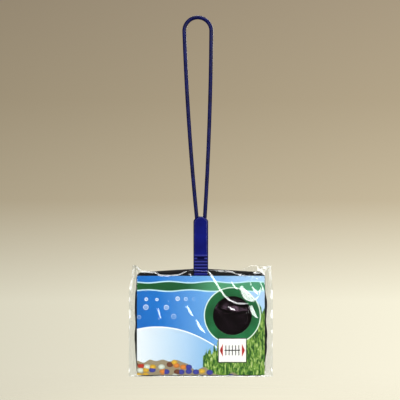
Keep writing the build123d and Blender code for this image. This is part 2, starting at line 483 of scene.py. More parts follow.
@dataclass(frozen=True)
class PrintedBoard:
    """Coated board, printed on the front with a plain water scene, grey and fibrous behind.

    Places on the card are in millimetres of X, and of Z from the card's top edge.
    """

    name: str = "coated_board"
    window: tuple[float, float] = (29.2, -36.7)
    ring_r: float = 25.6
    outline_mm: float = 0.9
    band_top: float = -6.15
    band_foot: float = -13.15
    label_mid: tuple[float, float] = (29.2, -68.85)
    label_half: tuple[float, float] = (12.6, 10.7)
    pebble_mm: float = 6.5
    bubble_mm: float = 8.5
    roughness: float = 0.38

    def material(self) -> Material:
        """Builds the material."""
        material, tree = blank_material(self.name)
        place = add(tree, "TexCoord", output="Object")
        sized = add(tree, "Mapping", {
            "Vector": place, "Scale": (1 / MM,) * 3, "Location": (0.0, 0.0, -CARD_TOP),
        })
        x = add(tree, "SeparateXYZ", {0: sized}, "X")
        z = add(tree, "SeparateXYZ", {0: sized}, "Z")
        art = Artboard(tree, sized, x, z)
        colour = self._water(art)
        parts = (self._sand, self._bubbles, self._garden, self._band, self._ring, self._label)
        for mask, ink in (layer for part in parts for layer in part(art)):
            colour = add(tree, "Mix", {0: mask, 6: colour, 7: ink}, 2, data_type="RGBA")
        facing = add(tree, "NewGeometry", output="Normal")
        forward = add(tree, "SeparateXYZ", {0: facing}, "Y")
        front = add(tree, "Math", {0: forward, 1: -0.5}, operation="LESS_THAN")
        fibre = add(tree, "TexNoise", {"Vector": sized, "Scale": 0.8, "Detail": 6.0})
        grey = add(tree, "ValToRGB", {0: fibre}, stops=((0.3, "#B9B4A8"), (0.7, "#CFCBC0")))
        colour = add(tree, "Mix", {0: front, 6: grey, 7: colour}, 2, data_type="RGBA")
        relief = add(tree, "Bump", {"Height": fibre, "Strength": 0.05, "Distance": 0.1 * MM})
        surface = add(tree, "BsdfPrincipled", {
            "Base Color": colour, "Roughness": self.roughness, "Normal": relief,
        })
        add(tree, "OutputMaterial", {"Surface": surface})
        return material

    def _water(self, art: Artboard) -> Socket:
        """The blue ground, deep at the left and pale at the right.

        Args:
            art: The nodes, and the place on the card.

        Returns:
            The ground's colour.
        """
        tree, _, x, z = art
        slant = add(tree, "Math", {0: z, 1: 0.12, 2: x}, operation="MULTIPLY_ADD")
        across = add(tree, "MapRange", {"Value": slant, "From Min": -66.0, "From Max": 59.0})
        return add(tree, "ValToRGB", {0: across}, stops=(
            (0.0, "#056ABF"), (0.2, "#1276CA"), (0.55, "#68A6E0"), (1.0, "#B5D4F1"),
        ))

    def _sand(self, art: Artboard) -> Layers:
        """A pale rounded bank at the lower left, with a white crest.

        Args:
            art: The nodes, and the place on the card.

        Returns:
            Masks and inks, lowest first.
        """
        tree, _, x, z = art
        from_crest = add(tree, "Math", {0: x, 1: 40.0}, operation="ADD")
        squared = add(tree, "Math", {0: from_crest, 1: 2.0}, operation="POWER")
        bank = add(tree, "Math", {0: squared, 1: -0.0062, 2: -46.75}, operation="MULTIPLY_ADD")
        under = add(tree, "Math", {0: bank, 1: z}, operation="SUBTRACT")
        fill = add(tree, "MapRange", {"Value": under, "From Min": 0.0, "From Max": 0.4})
        crest = add(tree, "Math", {0: under, 1: 0.6, 2: 0.6}, operation="COMPARE")
        pale = add(tree, "MapRange", {"Value": x, "From Min": -58.0, "From Max": 8.0})
        ink = add(tree, "ValToRGB", {0: pale}, stops=(
            (0.0, "#E8EEF2"), (0.45, "#C6DCEE"), (1.0, "#8ABBE4"),
        ))
        return [(fill, ink), (crest, linear("#F7FBFE"))]

    def _bubbles(self, art: Artboard) -> Layers:
        """Rings of rising air bubbles on the deep blue.

        Args:
            art: The nodes, and the place on the card.

        Returns:
            Masks and inks, lowest first.
        """
        tree, _, x, z = art
        chart = add(tree, "CombineXYZ", {"X": x, "Y": z})
        cells = add(tree, "TexVoronoi", {
            "Vector": chart, "Scale": 1 / self.bubble_mm, "Randomness": 0.6,
        }, voronoi_dimensions="2D").node
        pick = add(tree, "SeparateColor", {0: cells.outputs["Color"]}, "Green")
        size = add(tree, "MapRange", {"Value": pick, "From Min": 0.35, "To Min": 0.0, "To Max": 0.3})
        inward = add(tree, "Math", {0: size, 1: cells.outputs["Distance"]}, operation="SUBTRACT")
        rim = add(tree, "Math", {0: inward, 1: 0.04, 2: 0.04}, operation="COMPARE")
        shade = add(tree, "MapRange", {"Value": inward, "From Min": 0.0, "From Max": 0.2, "To Max": 0.5})
        mask = add(tree, "Math", {0: rim, 1: shade}, operation="MAXIMUM")
        for value, none, full in ((x, -4.0, -22.0), (z, -45.75, -22.75), (z, -13.75, -18.75)):
            zone = add(tree, "MapRange", {"Value": value, "From Min": none, "From Max": full})
            mask = add(tree, "Math", {0: mask, 1: zone}, operation="MULTIPLY")
        return [(mask, linear("#E6F3FC"))]

    def _garden(self, art: Artboard) -> Layers:
        """Coloured gravel along the foot and water weed at the lower right.

        Args:
            art: The nodes, and the place on the card.

        Returns:
            Masks and inks, lowest first.
        """
        tree, sized, x, z = art
        blades = add(tree, "VectorMath", {0: sized, 1: (0.42, 0.0, 0.05)}, operation="MULTIPLY")
        tips = add(tree, "TexNoise", {"Vector": blades, "Scale": 1.0, "Detail": 3.0})
        reach = add(tree, "MapRange", {"Value": x, "From Min": -2.0, "From Max": 56.0})
        tall = add(tree, "Math", {0: reach, 1: 50.0, 2: -78.75}, operation="MULTIPLY_ADD")
        tall = add(tree, "Math", {0: tips, 1: 34.0, 2: tall}, operation="MULTIPLY_ADD")
        tall = add(tree, "Math", {0: tall, 1: 17.0}, operation="SUBTRACT")
        weed = add(tree, "Math", {0: z, 1: tall}, operation="LESS_THAN")
        right = add(tree, "Math", {0: x, 1: 2.0}, operation="GREATER_THAN")
        weed = add(tree, "Math", {0: weed, 1: right}, operation="MULTIPLY")
        leaf = add(tree, "VectorMath", {0: sized, 1: (0.5, 0.0, 0.16)}, operation="MULTIPLY")
        leaves = add(tree, "TexNoise", {
            "Vector": leaf, "Scale": 1.0, "Detail": 4.0, "Roughness": 0.65, "Distortion": 0.8,
        })
        green = add(tree, "ValToRGB", {0: leaves}, stops=(
            (0.3, "#0C2412"), (0.45, "#2C6A22"), (0.55, "#7FA63C"), (0.7, "#D8E3A0"),
        ))
        squash = 1.3
        lower = add(tree, "Math", {0: z, 1: squash}, operation="MULTIPLY")
        chart = add(tree, "CombineXYZ", {"X": x, "Y": lower})
        cells = add(tree, "TexVoronoi", {
            "Vector": chart, "Scale": 1 / self.pebble_mm, "Randomness": 0.65,
        }, voronoi_dimensions="2D").node
        pick = add(tree, "SeparateColor", {0: cells.outputs["Color"]}, "Red")
        stone = add(tree, "ValToRGB", {0: pick}, stops=(
            (0.0, "#4347A6"), (0.2, "#E3B538"), (0.34, "#4347A6"), (0.5, "#DFE8DA"), (0.66, "#C93C25"),
            (0.78, "#E08A3A"), (0.9, "#7A4630"),
        ))
        stone.node.color_ramp.interpolation = "CONSTANT"
        from_middle = cells.outputs["Distance"]
        lit = add(tree, "MapRange", {
            "Value": from_middle, "From Max": 0.5, "To Min": 1.12, "To Max": 0.62,
        })
        stone = add(tree, "VectorMath", {0: stone, "Scale": lit}, operation="SCALE")
        middle = add(tree, "SeparateXYZ", {0: cells.outputs["Position"]}, "X").node
        middle_z = add(tree, "Math", {0: middle.outputs["Y"], 1: squash}, operation="DIVIDE")
        masks = []
        for place_x, place_z, drop in ((x, z, 0.5), (middle.outputs["X"], middle_z, 1.5)):
            heap = add(tree, "TexNoise", {
                "W": place_x, "Scale": 0.05, "Detail": 1.0,
            }, noise_dimensions="1D")
            bank = add(tree, "MapRange", {
                "Value": place_x, "From Min": -12.0, "From Max": 14.0, "To Min": -89.0 - drop,
                "To Max": -104.0 - drop,
            })
            top = add(tree, "Math", {0: heap, 1: 22.0, 2: bank}, operation="MULTIPLY_ADD")
            masks.append(add(tree, "Math", {0: place_z, 1: top}, operation="LESS_THAN"))
        sand, heaped = masks
        body = add(tree, "MapRange", {"Value": from_middle, "From Min": 0.5, "From Max": 0.44})
        pebbles = add(tree, "Math", {0: heaped, 1: body}, operation="MULTIPLY")
        return [(weed, green), (sand, linear("#9C8F73")), (pebbles, stone)]

    def _band(self, art: Artboard) -> Layers:
        """A green band near the top, with a waved foot and pale edges.

        Args:
            art: The nodes, and the place on the card.

        Returns:
            Masks and inks, lowest first.
        """
        tree, _, x, z = art
        turn = add(tree, "Math", {0: x, 1: 0.16}, operation="MULTIPLY")
        wave = add(tree, "Math", {0: turn}, operation="SINE")
        mid, half = (self.band_top + self.band_foot) / 2, (self.band_top - self.band_foot) / 2
        swell = add(tree, "Math", {0: wave, 1: 0.7, 2: half}, operation="MULTIPLY_ADD")
        off = add(tree, "Math", {0: z, 1: mid}, operation="SUBTRACT")
        off = add(tree, "Math", {0: off}, operation="ABSOLUTE")
        past = add(tree, "Math", {0: swell, 1: off}, operation="SUBTRACT")
        edge = add(tree, "MapRange", {"Value": past, "From Min": -1.1, "From Max": -0.8})
        fill = add(tree, "MapRange", {"Value": past, "From Min": 0.0, "From Max": 0.3})
        along = add(tree, "MapRange", {"Value": x, "From Min": -60.0, "From Max": 60.0})
        green = add(tree, "ValToRGB", {0: along}, stops=(
            (0.0, "#0B5A26"), (0.4, "#0E5B30"), (0.6, "#4E9A6E"), (1.0, "#4A9A72"),
        ))
        return [(edge, linear("#C9ECF2")), (fill, green)]

    def _ring(self, art: Artboard) -> Layers:
        """A green ring with a white outline round the window.

        Args:
            art: The nodes, and the place on the card.

        Returns:
            Masks and inks, lowest first.
        """
        tree, sized, x, z = art
        flat = add(tree, "CombineXYZ", {"X": x, "Y": z})
        away = add(tree, "VectorMath", {0: flat, 1: (*self.window, 0.0)}, "Value", operation="DISTANCE")
        outer = self.ring_r + self.outline_mm
        outline = add(tree, "MapRange", {"Value": away, "From Min": outer, "From Max": outer - 0.3})
        ring = add(tree, "MapRange", {
            "Value": away, "From Min": self.ring_r, "From Max": self.ring_r - 0.3,
        })
        tone = add(tree, "TexNoise", {"Vector": sized, "Scale": 0.06, "Detail": 1.0})
        green = add(tree, "ValToRGB", {0: tone}, stops=((0.3, "#0B5A2B"), (0.7, "#1C7A45")))
        return [(outline, linear("#E4F6E6")), (ring, green)]

    def _label(self, art: Artboard) -> Layers:
        """A white panel with a plain width scale between two red arrow heads.

        Args:
            art: The nodes, and the place on the card.

        Returns:
            Masks and inks, lowest first.
        """
        tree, _, x, z = art
        offsets = []
        for value, middle in zip((x, z), self.label_mid):
            off = add(tree, "Math", {0: value, 1: middle}, operation="SUBTRACT")
            offsets.append(add(tree, "Math", {0: off}, operation="ABSOLUTE"))
        across, up = offsets
        masks = []
        for margin in (0.7, 0.0):
            wide = add(tree, "Math", {0: across, 1: self.label_half[0] + margin}, operation="LESS_THAN")
            high = add(tree, "Math", {0: up, 1: self.label_half[1] + margin}, operation="LESS_THAN")
            masks.append(add(tree, "Math", {0: wide, 1: high}, operation="MULTIPLY"))
        head_tip, head_length, head_half = 11.6, 2.8, 6.2
        to_tip = add(tree, "Math", {0: head_tip, 1: across}, operation="SUBTRACT")
        slope = head_half / head_length
        taper = add(tree, "Math", {0: to_tip, 1: slope}, operation="MULTIPLY")
        inside = add(tree, "Math", {0: up, 1: taper}, operation="LESS_THAN")
        behind = add(tree, "Math", {0: to_tip, 1: head_length}, operation="LESS_THAN")
        heads = add(tree, "Math", {0: inside, 1: behind}, operation="MULTIPLY")
        step = add(tree, "Math", {0: across, 1: 1.5}, operation="PINGPONG")
        tick = add(tree, "Math", {0: step, 1: 0.38}, operation="LESS_THAN")
        short = add(tree, "Math", {0: up, 1: 4.6}, operation="LESS_THAN")
        middle = add(tree, "Math", {0: across, 1: 7.2}, operation="LESS_THAN")
        bar = add(tree, "Math", {0: up, 1: 0.45}, operation="LESS_THAN")
        ticks = add(tree, "Math", {0: tick, 1: short}, operation="MULTIPLY")
        ticks = add(tree, "Math", {0: ticks, 1: bar}, operation="MAXIMUM")
        ticks = add(tree, "Math", {0: ticks, 1: middle}, operation="MULTIPLY")
        return [(
            masks[0], linear("#1D1A14"),
        ), (masks[1], linear("#F8F6F2")), (heads, linear("#B3150F")), (ticks, linear("#171513"))]


# Sub-assemblies


@dataclass
class HoopPath:
    """Centre line of the hem, from the right of the grip round the hoop to its left, in millimetres."""

    tube_r: float = 2.05
    fall: float = 0.0597
    corner_r: float = 4.0
    start_x: float = 7.3
    points: list[Vector] = field(default_factory=list)
    lengths: list[float] = field(default_factory=list)

    def __post_init__(self) -> None:
        """Rounds the hoop's four corners and measures along it."""
        side = [(self.start_x, self.bar(self.start_x)), (self.half_width, self.bar(self.half_width))]
        side.append((self.half_width, self.foot))
        corners = [Vector(p) for p in side] + [Vector((-p[0], p[1])) for p in reversed(side)]
        self.points = [corners[0]]
        steps = 10
        for before, corner, after in zip(corners, corners[1:], corners[2:]):
            into, out = (corner - before).normalized(), (after - corner).normalized()
            turn = into.angle(out)
            start = corner - into * self.corner_r * math.tan(turn / 2)
            centre = start + Vector((into.y, -into.x)) * self.corner_r
            for i in range(steps + 1):
                spun = Matrix.Rotation(-turn * i / steps, 2) @ (start - centre)
                self.points.append(centre + spun)
        self.points.append(corners[-1])
        total = 0.0
        self.lengths = [total]
        for a, b in zip(self.points, self.points[1:]):
            total += (b - a).length
            self.lengths.append(total)

    @property
    def length(self) -> float:
        """The whole length."""
        return self.lengths[-1]

    @property
    def half_width(self) -> float:
        """Half the width between the hoop's sides."""
        return HEM_HIGH.x - self.tube_r

    @property
    def foot(self) -> float:
        """Height of the hoop's foot."""
        return HEM_LOW.z + self.tube_r

    def bar(self, x: float) -> float:
        """Height of the hoop's top bar at a place across."""
        return HEM_HIGH.z - self.tube_r - self.fall * (abs(x) - self.start_x)

    def at(self, along: float) -> Vector:
        """The point at a distance along the line."""
        along = min(max(along, 0.0), self.length)
        i = min(max(bisect_right(self.lengths, along) - 1, 0), len(self.points) - 2)
        share = (along - self.lengths[i]) / max(self.lengths[i + 1] - self.lengths[i], 1e-9)
        return self.points[i].lerp(self.points[i + 1], share)

    def inward(self, along: float) -> Vector:
        """The direction from the line to the hoop's inside."""
        reach = 0.6
        ahead = (self.at(along + reach) - self.at(along - reach)).normalized()
        return Vector((ahead.y, -ahead.x))

    def beside(self, along: float, inset: float, y: float) -> Vector:
        """A point at a distance along the line, inset from it towards the inside.

        Args:
            along: Distance along the line.
            inset: Distance towards the inside.
            y: Depth.

        Returns:
            The place in the part's frame.
        """
        point = self.at(along) + self.inward(along) * inset
        return Vector((point.x, y, point.y))


@dataclass
class Handle:
    """The coated wire hairpin and its moulded grip, whose solids are shown as they are."""

    coat: Plastic = VINYL
    grip: RibbedPlastic = RibbedPlastic()
    wire: SpringWire = SpringWire()

    def dress(self) -> None:
        """Gives the solids their finishes."""
        coat, grip, wire = self.coat.material(), self.grip.material(), self.wire.material()
        for material, nodes in ((
            coat, ("handle_jacket", "frame_jacket"),
        ), (grip, ("grip_front", "grip_back")), (wire, ("handle_wire", "frame_wire"))):
            for node in nodes:
                dress(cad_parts[node], material)
                LOG.info("dressed %s with %s", node, material.name)


@dataclass
class Hem:
    """Binding tape sewn round the hoop, puckered by its seam, with the seam's two threads."""

    path: HoopPath = field(default_factory=HoopPath)
    tube_r: float = 2.0
    flange_reach: float = 4.9
    corner_reach: float = 3.7
    flange_half: float = 0.45
    belly: float = 1.3
    pucker: float = 0.12
    pucker_mm: float = 2.6
    stitch_mm: float = 2.6
    thread_r: float = 0.2
    seam_inset: float = 3.3
    tape: Cloth = TAPE
    thread: Plastic = THREAD

    def build(self) -> list[Piece]:
        """Makes the hem and its threads.

        Returns:
            The hem, then its threads.
        """
        hem = shaped_grid("net_hem", 300, 36, self._tape_point)
        with editing(hem):
            bpy.ops.mesh.remove_doubles(threshold=0.02 * MM)
            bpy.ops.mesh.select_all(action="DESELECT")
            bpy.ops.mesh.select_mode(type="EDGE")
            bpy.ops.mesh.select_non_manifold()
            bpy.ops.mesh.fill()
            bpy.ops.mesh.select_all(action="SELECT")
            bpy.ops.mesh.normals_make_consistent(inside=False)
        dress(hem, self.tape.material())
        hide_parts("hem")
        thread_material = self.thread.material()
        pieces = [hem]
        for side in Side:
            seam = shaped_grid(
                f"hem_thread_{side.name.lower()}",
                int(self.path.length / self.stitch_mm) * 8,
                6,
                lambda u, v, side=side: self._thread_point(u, v, side),
            )
            with editing(seam):
                bpy.ops.mesh.remove_doubles(threshold=0.005 * MM)
                bpy.ops.mesh.normals_make_consistent(inside=False)
            dress(seam, thread_material)
            pieces.append(seam)
        for piece in pieces:
            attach(piece, Body.NET.value)
            LOG.info("built %s", piece.name)
        return pieces

    def _tape_point(self, u: float, v: float) -> Vector:
        """Place of the tape at u along the hoop and v round its section."""
        along = u * self.path.length
        at = self.path.at(along)
        from_corner = min(
            (at - Vector((sx * self.path.half_width, z))).length
            for sx in (-1, 1)
            for z in (self.path.bar(self.path.half_width), self.path.foot)
        )
        tip = mix(self.corner_reach, self.flange_reach, ease((from_corner - 2.0) / 6.0))
        wrinkle = noise.noise(Vector((along / self.pucker_mm, v * 5.0, 3.7)))
        slow = noise.noise(Vector((along / 14.0, v * 2.0, 9.1)))
        radius = self.tube_r + self.pucker * wrinkle + 0.1 * slow
        neck = math.asin(self.flange_half / self.tube_r)
        flange_share = 0.2
        if flange_share <= v <= 1 - flange_share:
            turn = mix(neck, 2 * math.pi - neck, (v - flange_share) / (1 - 2 * flange_share))
            upright = ease(abs(at.x) - self.path.half_width + 1.0)
            belly = self.belly * upright * ease((from_corner - 6.0) / 22.0) * (1 + slow)
            inset = radius * math.cos(turn) + belly * min(math.cos(turn), 0.0)
            return self.path.beside(along, inset, -radius * math.sin(turn))
        outward = v / flange_share if v < 0.5 else (1 - v) / flange_share
        side = -1 if v < 0.5 else 1
        inset = mix(tip, self.tube_r * math.cos(neck), outward)
        thick = self.flange_half * ease(outward / 0.25)
        sway = 0.18 * noise.noise(Vector((along / 5.0, 1.3, 0.0))) * ease((1 - outward) * 2)
        stitch = 0.08 * math.cos(2 * math.pi * along / self.stitch_mm)
        sunk = math.exp(-(((inset - self.seam_inset) / 0.5) ** 2)) * (0.1 + stitch)
        return self.path.beside(along, inset, side * max(thick - sunk, 0.0) + sway)

    def _thread_point(self, u: float, v: float, side: Side) -> Vector:
        """Place of one seam thread at u along the hoop and v round it.

        Args:
            u: Share of the length.
            v: Share of the turn round the thread.
            side: The face of the flange that it lies on.

        Returns:
            The place, which dips into the tape between stitches.
        """
        margin = 1.5
        along = mix(margin, self.path.length - margin, u)
        rise = self.flange_half - 0.05 + 0.2 * math.cos(2 * math.pi * along / self.stitch_mm)
        sway = 0.18 * noise.noise(Vector((along / 5.0, 1.3, 0.0))) * 0.7
        turn = 2 * math.pi * v * side.value
        return self.path.beside(
            along, self.seam_inset + self.thread_r * math.cos(turn),
            side.value * (rise + self.thread_r * math.sin(turn) * side.value) + sway,
        )


@dataclass(frozen=True)
class Crease:
    """A raised, pointed fold in the film, in millimetres of X, and of Z from the card's top edge."""

    line: tuple[tuple[float, float], ...]
    half_width: float
    slope: float = 0.42

    @cached_property
    def reach(self) -> tuple[float, float, float, float]:
        """Least X, most X, least Z and most Z that the fold touches."""
        xs, zs = zip(*self.line)
        far = self.half_width * 1.2
        return min(xs) - far, max(xs) + far, min(zs) - far, max(zs) + far

    def rise(self, x: float, z: float) -> float:
        """Height of the fold at a place, narrowing to its ends.

        Args:
            x: Place across.
            z: Height from the card's top.

        Returns:
            How far the film stands out there.
        """
        left, right, low, high = self.reach
        if not (left < x < right and low < z < high):
            return 0.0
        here, best, along, run = Vector((x, z)), math.inf, 0.0, 0.0
        for a, b in zip(self.line, self.line[1:]):
            start, step = Vector(a), Vector(b) - Vector(a)
            t = min(max((here - start).dot(step) / step.length_squared, 0.0), 1.0)
            away = (here - start - step * t).length
            if away < best:
                best, along = away, run + step.length * t
            run += step.length
        width = self.half_width * ease(min(along, run - along) / min(6.0, run / 2) + 0.08)
        rounding = 0.15
        return self.slope * width * max(1 + rounding - math.hypot(best / width, rounding), 0.0)


@dataclass(frozen=True)
class Facet:
    """A flat tilted flake of film beside a bowed fold, in the same millimetres as a crease.

    It faces to the left of the way from start to end.
    """

    start: tuple[float, float]
    end: tuple[float, float]
    width: float
    slope: float = 0.4
    back_slope: float = 1.1

    def rise(self, x: float, z: float) -> float:
        """Height of the flake at a place.

        Args:
            x: Place across.
            z: Height from the card's top.

        Returns:
            How far the film stands out there.
        """
        along = Vector(self.end) - Vector(self.start)
        here = Vector((x, z)) - Vector(self.start)
        share = here.dot(along) / along.length_squared
        if not 0 < share < 1:
            return 0.0
        off = here.dot(Vector((-along.y, along.x))) / along.length
        bow = self.width * (1 - (2 * share - 1) ** 2)
        if off > -bow:
            return self.slope * max(-off, 0.0)
        return max(self.slope * bow - self.back_slope * (-off - bow), 0.0)


@dataclass
class NetPocket:
    """The net's pocket: open netting in a shallow tray, with its spare depth folded up inside."""

    path: HoopPath = field(default_factory=HoopPath)
    inset: float = 3.2
    lip_y: float = 0.75
    back_y: float = 6.35
    wall: float = 4.4
    pitch: float = 1.25
    strand: float = 0.8
    notch_half: float = 8.4
    notch_drop: float = 2.05
    fold_half: float = 48.6
    fold_drop: float = 6.75
    fold_rise: float = 8.6
    fold_y: float = 3.5
    cloth: float = 0.45
    fold_front: float = -1.6
    calm_share: float = 0.3
    calm_below: float = -39.0
    satin_folds: tuple[Facet, ...] = (
        Facet((14.0, -28.0), (54.0, -30.5), 5.5, 0.3), Facet((20.0, -20.5), (44.0, -21.5), 4.5, 0.3),
        Facet((-44.0, -30.0), (0.0, -52.0), 6.0, 0.3),
    )
    netting: Plastic = FILAMENT
    bunched: Cloth = BUNCHED

    def build(self, hem_pieces: Sequence[Piece]) -> None:
        """Makes the pocket and the folded netting in it.

        Args:
            hem_pieces: The hem and threads that are sewn to it. Not used.
        """
        width = 2 * (self.path.half_width - self.inset)
        height = self._top(20.0) - self._foot()
        pocket = shaped_grid(
            "net_pocket", round(width / self.pitch), round(height / self.pitch), self._pocket_point
        )
        finish_with(
            pocket, "WIREFRAME", thickness=self.strand * MM, use_even_offset=False, use_replace=True,
            use_boundary=True,
        )
        dress(pocket, self.netting.material())
        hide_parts("net_skirt", "net_panel")
        fold = shaped_grid("net_folds", 96, 78, self._fold_point)
        finish_with(fold, "SOLIDIFY", thickness=self.cloth * MM, offset=0.0)
        dress(fold, self.bunched.material())
        for piece in (pocket, fold):
            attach(piece, Body.NET.value)
            LOG.info("built %s", piece.name)

    def _top(self, x: float) -> float:
        """Upper edge of the netting, which dips under the grip's foot."""
        edge = self.path.bar(x) - self.inset
        under = ease((abs(x) - self.notch_half) / 3.0)
        return mix(min(edge, CARD_TOP - self.notch_drop), edge, under)

    def _foot(self) -> float:
        """Lower edge of the netting."""
        return self.path.foot + self.inset

    def _pocket_point(self, u: float, v: float) -> Vector:
        """Place of the netting at u across and v up."""
        half = self.path.half_width - self.inset
        x = mix(-half, half, u)
        top, foot = self._top(x), self._foot()
        z = mix(foot, top, v)
        edge = min(half - abs(x), z - foot, top - z)
        y = mix(self.lip_y, self.back_y, ease(edge / self.wall))
        slack = ease((edge - 2.0) / 8.0)
        y -= slack * 0.5 * (1 + noise.noise(Vector((x / 16.0 + z / 40.0, z / 24.0, 5.0))))
        return Vector((x, y, z))

    def _fold_point(self, u: float, v: float) -> Vector:
        """Place of the folded netting at u across and v up."""
        ragged = 2.2 * noise.noise(Vector((u * 7.0, 2.0, 0.0)))
        x = mix(-self.fold_half, self.fold_half, u) + 3.0 * noise.noise(Vector((u, v * 6.0, 4.0)))
        foot = self.path.foot + self.fold_rise + 1.4 * noise.noise(Vector((u * 8.0, 5.0, 0.0)))
        z = mix(foot, CARD_TOP - self.fold_drop + ragged, v)
        slant = Vector((x * 0.8 - z * 0.6, x * 0.6 + z * 0.8))
        rise = 1.6 * noise.noise(Vector((slant.x / 10.0, slant.y / 30.0, 1.0)))
        rise += 0.9 * noise.noise(Vector((slant.y / 8.0, slant.x / 20.0, 6.0)))
        rise += 0.3 * noise.noise(Vector((x / 3.5, z / 3.5, 2.0)))
        rise *= mix(self.calm_share, 1.0, ease((z - CARD_TOP - self.calm_below) / 5.0))
        rise += max(fold.rise(x, z - CARD_TOP) for fold in self.satin_folds)
        edge = min(u, 1 - u, v, 1 - v) * 2 * self.fold_half
        tuck = 1 - ease(edge / 6.0)
        y = mix(max(self.fold_y - rise, self.fold_front), self.back_y - 1.1, tuck)
        return Vector((x, min(y, self.back_y - 1.0), z))


def star(centre: tuple[float, float], arms: int, reach: float, half_width: float) -> list[Crease]:
    """Folds that run out from a pinched point.

    Args:
        centre: The point.
        arms: Number of folds.
        reach: Length of the longest.
        half_width: Half the width of each.

    Returns:
        The folds, long and short in turn.
    """
    folds = []
    for i in range(arms):
        turn = 2 * math.pi * i / arms + 0.05
        length = reach * (1.0, 0.55, 0.8)[i % 3]
        tip = (centre[0] + length * math.cos(turn), centre[1] + length * math.sin(turn))
        folds.append(Crease((centre, tip), half_width))
    return folds


@dataclass
class FilmBag:
    """The clear bag: two crisp films, welded at both sides and the foot, open and curled at the top.

    Heights are from the card's top edge.
    """

    foot: float = BAG_FOOT - CARD_TOP + 0.1
    mouth: float = 9.1
    card_flat: float = 59.4
    net_flat: float = 52.8
    front_y: float = -4.9
    back_y: float = 6.9
    weld_y: float = 0.8
    weld_width: float = 1.9
    weld_gap: float = 0.12
    front_slope: float = 2.3
    back_slope: float = 4.2
    lip_r: float = 0.4
    lip_drop: float = 1.5
    lip_tilt: float = 0.32
    film: float = 0.07
    foot_half: float = 67.0
    mouth_half: tuple[float, float] = (63.4, 65.6)
    taper: float = 20.0
    twist: float = 0.9
    press: float = 0.05
    press_mm: float = 1.2
    grip_half: float = 12.5
    front_top: tuple[tuple[float, float], ...] = (
        (-66.0, 8.4), (-60.2, 9.4), (-57.0, 7.4), (-54.6, 4.4), (-43.3, 3.9), (-36.7, 0.9), (-30.0, 0.7),
        (-21.6, 1.5), (-13.9, 4.2), (-9.6, 5.6), (-0.3, 4.8), (13.7, 5.2), (25.8, 4.7), (36.9, 1.7),
        (43.4, -0.1), (48.1, 2.8), (53.7, 6.1), (60.0, 8.6), (66.0, 8.4),
    )
    back_top: tuple[tuple[float, float], ...] = (
        (-66.0, 9.1), (-58.5, 9.1), (-53.0, 2.0), (-14.0, 3.0), (14.0, 3.0), (34.0, 1.6), (41.0, 6.5),
        (47.0, 9.1), (66.0, 9.1),
    )
    folds: tuple[Crease | Facet, ...] = (
        Crease((
            (5.2, 6.0), (10.7, -3.3), (16.5, -12.7), (21.1, -19.3), (25.9, -23.4), (32.6, -26.2),
            (39.2, -27.1), (47.7, -25.0), (53.5, -20.8), (56.0, -14.0), (56.5, -8.0),
        ), 1.9),
        Facet((27.0, -3.6), (35.6, -13.8), 1.9),
        Facet((-13.4, -25.4), (-5.2, -39.0), 2.5),
        Facet((-4.6, -38.8), (5.2, -53.8), 3.1),
        Facet((-39.4, -28.0), (-35.6, -41.8), 1.9),
        Facet((46.4, -25.0), (53.2, -40.4), 4.0),
        Facet((24.0, -27.0), (33.6, -31.6), 2.4),
        Facet((20.5, -33.8), (30.0, -34.2), 1.1, 0.31),
        Facet((34.0, -37.0), (40.4, -34.2), 1.3, 0.31),
        Facet((39.6, -33.6), (46.4, -33.8), 1.1, 0.31),
        Facet((37.0, -8.0), (52.5, -24.0), 7.0),
        Facet((46.0, -7.5), (56.0, -19.5), 2.4),
        Facet((33.5, 6.0), (38.5, -1.5), 1.5),
        Facet((40.5, 7.5), (45.5, 0.0), 2.0),
        Facet((47.5, 9.0), (52.8, 0.5), 2.4),
        Facet((55.5, 7.5), (60.5, -0.5), 2.2),
        Facet((44.5, -6.0), (49.5, 4.5), 1.6),
        Facet((52.5, -4.5), (57.5, 6.0), 1.5),
        Facet((36.0, 1.0), (46.0, 0.4), 1.2),
        Facet((49.0, 3.2), (58.0, 3.4), 1.4),
        Facet((-10.6, 4.2), (-7.8, -1.6), 1.3),
        Facet((-15.5, -5.2), (-8.6, -5.2), 1.1),
        Facet((-60.8, 8.0), (-57.4, 1.0), 1.6),
        Facet((-65.4, -21.5), (-65.0, -32.0), 1.3),
        Facet((-65.6, -41.0), (-65.2, -51.0), 1.3),
        Facet((-63.4, -14.0), (-62.8, -38.0), 0.9),
        Facet((58.6, -79.0), (63.5, -87.0), 2.0),
        Facet((60.0, -85.5), (64.5, -92.5), 1.8),
        Facet((57.0, -88.5), (64.0, -88.0), 1.3),
        Crease(((33.0, 5.0), (45.0, 1.2)), 0.9),
        Crease(((53.0, -3.0), (56.0, -10.0), (56.5, -15.0), (54.0, -22.0)), 0.9),
        *star((45.3, 0.0), 12, 13.0, 0.9),
        *star((58.5, 5.5), 12, 7.0, 0.8),
        *star((61.0, -86.0), 12, 8.0, 0.9),
    )
    finish: ClearFilm = ClearFilm()

    def build(self) -> None:
        """Makes both films."""
        material = self.finish.material()
        front = shaped_grid("bag_film_front", 236, 186, self._front_point)
        back = shaped_grid("bag_film_back", 132, 104, self._back_point)
        with editing(back):
            bpy.ops.mesh.flip_normals()
        for piece, node, rest in ((front, "bag_front", "display_card"), (back, "bag_back", "net_pocket")):
            finish_with(piece, "SOLIDIFY", thickness=self.film * MM, offset=0.0)
            dress(piece, material)
            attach(piece, Body.BAG.value)
            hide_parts(node)
            LOG.info("built %s", piece.name)

    def _edge(self, z: float, left: bool) -> float:
        """Half width of the bag at a height, a little less towards the open top."""
        up = ease((z + self.taper) / (self.mouth + self.taper))
        return mix(self.foot_half, self.mouth_half[0 if left else 1], up)

